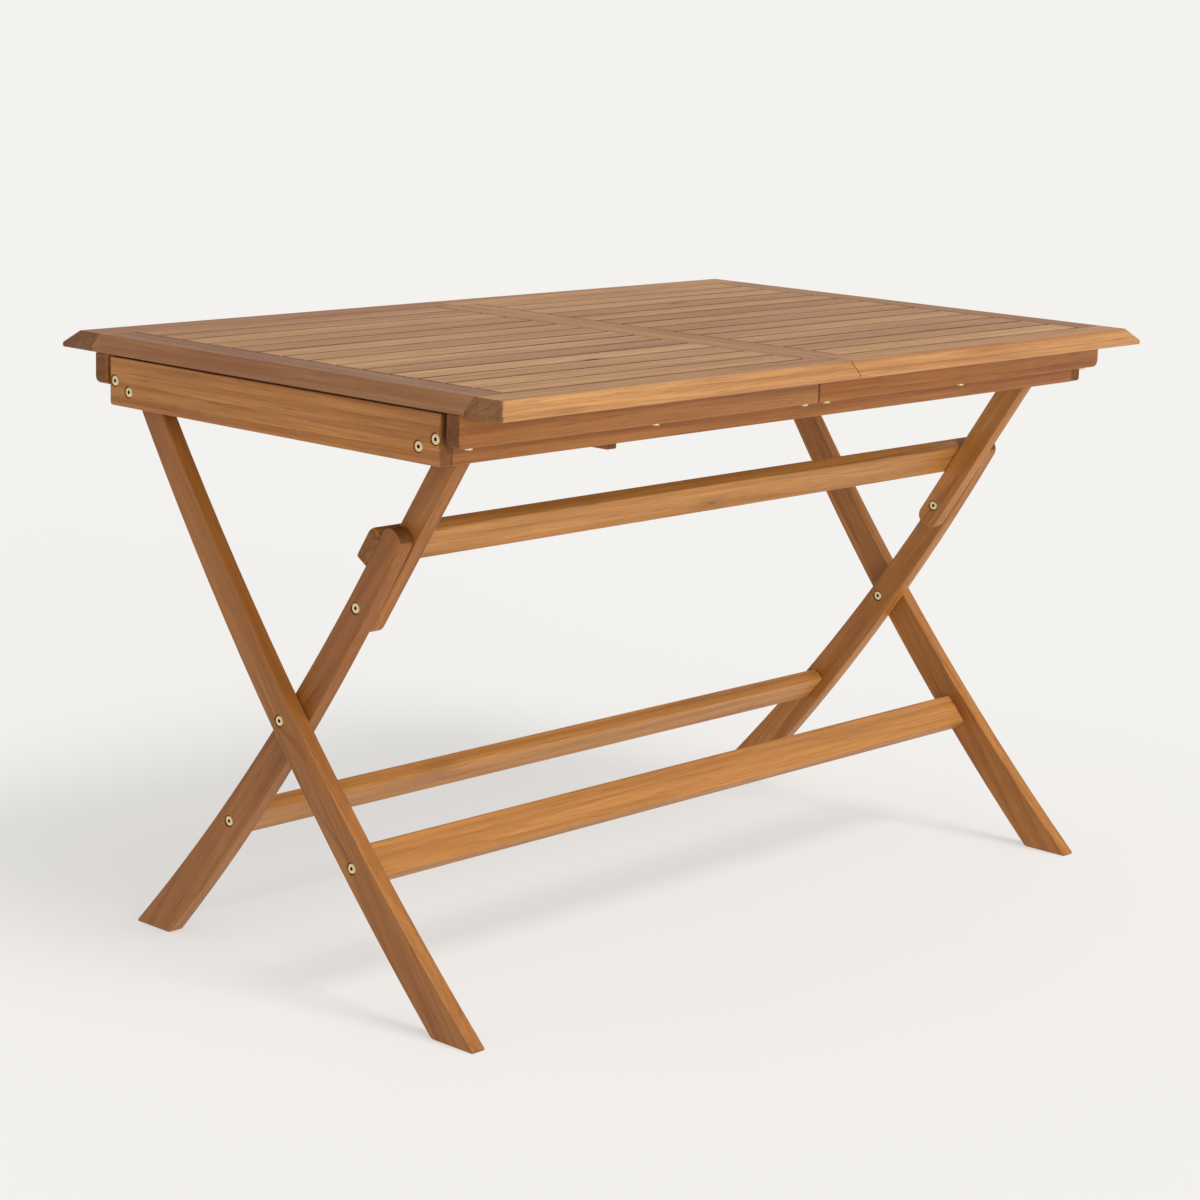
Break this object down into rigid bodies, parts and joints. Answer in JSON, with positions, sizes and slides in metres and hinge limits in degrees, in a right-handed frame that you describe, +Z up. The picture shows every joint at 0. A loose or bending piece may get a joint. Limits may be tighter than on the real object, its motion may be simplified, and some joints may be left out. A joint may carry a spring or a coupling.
{
  "type": "folding extending garden table",
  "caption": "Slatted wooden garden table on crossed folding legs with a knee brace; the split top slides apart over a fixed frame that stores a leaf.",
  "frame": {"origin": "on the floor, under the middle of the closed table top", "axes": "+X along the top and along the slats, towards the right half; +Y across the top, towards the back; +Z up"},
  "size_m": [1.2, 0.75, 0.73],
  "materials": {
    "top_wood": "oiled hardwood, open grain, satin",
    "slat_wood": "oiled hardwood, open grain, satin",
    "rail_wood": "oiled hardwood, open grain, satin",
    "leg_wood": "oiled hardwood, open grain, satin",
    "brass": "satin, pale yellow",
    "steel": "plain zinc-plated tube"
  },
  "bodies": {
    "frame": {"brace_bolts": "brass", "brace_nuts": "brass", "brace_spacer_left": "steel", "brace_spacer_right": "steel", "corner_bolts": "brass", "end_board_left": "rail_wood", "end_board_right": "rail_wood", "guide_strip_back_left": "rail_wood", "guide_strip_back_right": "rail_wood", "guide_strip_front_left": "rail_wood", "guide_strip_front_right": "rail_wood", "inner_rail_back": "rail_wood", "inner_rail_front": "rail_wood", "leaf_bearer_left": "rail_wood", "leaf_bearer_right": "rail_wood", "leaf_end_member_left": "top_wood", "leaf_end_member_right": "top_wood", "leaf_side_member_back": "top_wood", "leaf_side_member_front": "top_wood", "leaf_slats": "slat_wood", "outer_leg_bolts": "brass", "outer_leg_nuts": "brass"},
    "half_left": {"back_member_left": "top_wood", "end_member_left": "top_wood", "front_member_left": "top_wood", "outer_rail_back_left": "rail_wood", "outer_rail_front_left": "rail_wood", "rail_screws_left": "brass", "seam_member_left": "top_wood", "slat_batten_left": "rail_wood", "slats_left": "slat_wood"},
    "half_right": {"back_member_right": "top_wood", "end_member_right": "top_wood", "front_member_right": "top_wood", "outer_rail_back_right": "rail_wood", "outer_rail_front_right": "rail_wood", "rail_screws_right": "brass", "seam_member_right": "top_wood", "slat_batten_right": "rail_wood", "slats_right": "slat_wood"},
    "outer_legs": {"outer_leg_left": "leg_wood", "outer_leg_right": "leg_wood", "outer_stretcher": "leg_wood", "outer_stretcher_bolts": "brass", "crossing_bolts": "brass"},
    "braces": {"leg_brace_left": "leg_wood", "leg_brace_right": "leg_wood", "knee_nuts": "brass"},
    "inner_legs": {"inner_leg_left": "leg_wood", "inner_leg_right": "leg_wood", "inner_stretcher": "leg_wood", "inner_stretcher_bolts": "brass", "upper_stretcher": "leg_wood", "upper_stretcher_screws": "brass", "crossing_nuts": "brass", "knee_bolts": "brass"}
  },
  "joints": [
    {"name": "slide_left", "type": "slide", "parent": "frame", "child": "half_left", "axis": [-1, 0, 0], "range_m": [0, 0.2]},
    {"name": "slide_right", "type": "slide", "parent": "frame", "child": "half_right", "axis": [1, 0, 0], "range_m": [0, 0.2]},
    {"name": "legs_fold", "type": "hinge", "parent": "frame", "child": "outer_legs", "pos_m": [0, 0.2475, 0.669], "axis": [-1, 0, 0], "range_deg": [0, 40.5]},
    {"name": "brace_fold", "type": "hinge", "parent": "frame", "child": "braces", "pos_m": [0, -0.2475, 0.669], "axis": [1, 0, 0], "range_deg": [0, 45.34]},
    {"name": "knee_fold", "type": "hinge", "parent": "braces", "child": "inner_legs", "pos_m": [0, -0.109, 0.4628], "axis": [-1, 0, 0], "range_deg": [0, 151.61]}
  ],
  "couplings": [
    {"joint": "brace_fold", "follows": "legs_fold", "ratio": 1.1194},
    {"joint": "knee_fold", "follows": "legs_fold", "ratio": 3.7432}
  ]
}
